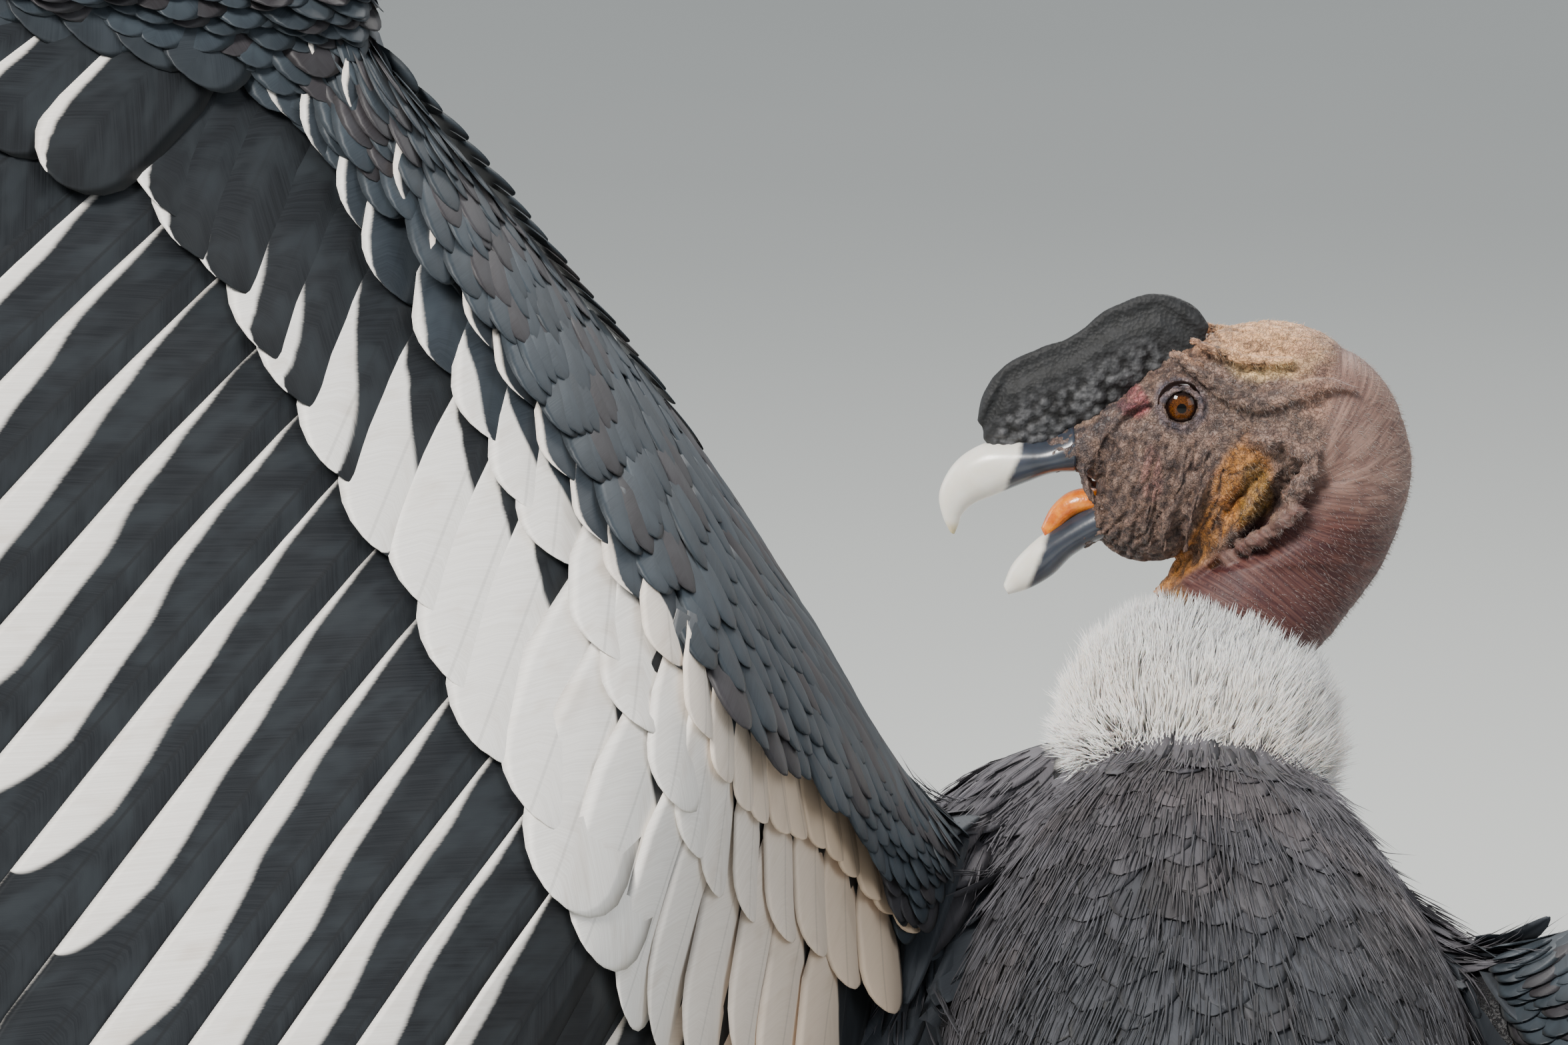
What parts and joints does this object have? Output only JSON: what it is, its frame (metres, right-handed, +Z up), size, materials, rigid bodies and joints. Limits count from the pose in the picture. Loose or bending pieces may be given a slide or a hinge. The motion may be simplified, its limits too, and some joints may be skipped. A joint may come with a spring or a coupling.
{
  "type": "andean condor",
  "caption": "Still life-size male Andean condor with spread wings, white neck ruff, head comb, wattles and open hooked bill.",
  "frame": {"origin": "middle of the bird's box on the floor that it stands on", "axes": "+Z up, +Y the way the trunk faces, +X to the bird's right along the spread wings"},
  "size_m": [2.2008, 0.727, 1.1843],
  "materials": {
    "plumage": "satin black feathers",
    "down": "soft white down",
    "neck_skin": "wrinkled red bare skin",
    "face_skin": "folded brown bare skin",
    "comb_skin": "dark grey warty skin",
    "bill_horn": "smooth ivory horn",
    "tongue_skin": "moist orange",
    "eye": "glossy brown",
    "leg_scale": "grey scaly skin",
    "claw_horn": "dull black horn"
  },
  "bodies": {
    "root": {"torso": "plumage", "ruff": "down", "neck": "neck_skin", "head": "face_skin", "comb": "comb_skin", "upper_bill": "bill_horn", "lower_bill": "bill_horn", "tongue": "tongue_skin", "left_eye": "eye", "right_eye": "eye", "tail": "plumage", "left_upper_wing": "plumage", "left_forewing": "plumage", "left_hand": "plumage", "left_thigh": "plumage", "left_foot": "leg_scale", "left_claw_1": "claw_horn", "left_claw_2": "claw_horn", "left_claw_3": "claw_horn", "left_claw_4": "claw_horn", "right_upper_wing": "plumage", "right_forewing": "plumage", "right_hand": "plumage", "right_thigh": "plumage", "right_foot": "leg_scale", "right_claw_1": "claw_horn", "right_claw_2": "claw_horn", "right_claw_3": "claw_horn", "right_claw_4": "claw_horn"}
  },
  "joints": []
}
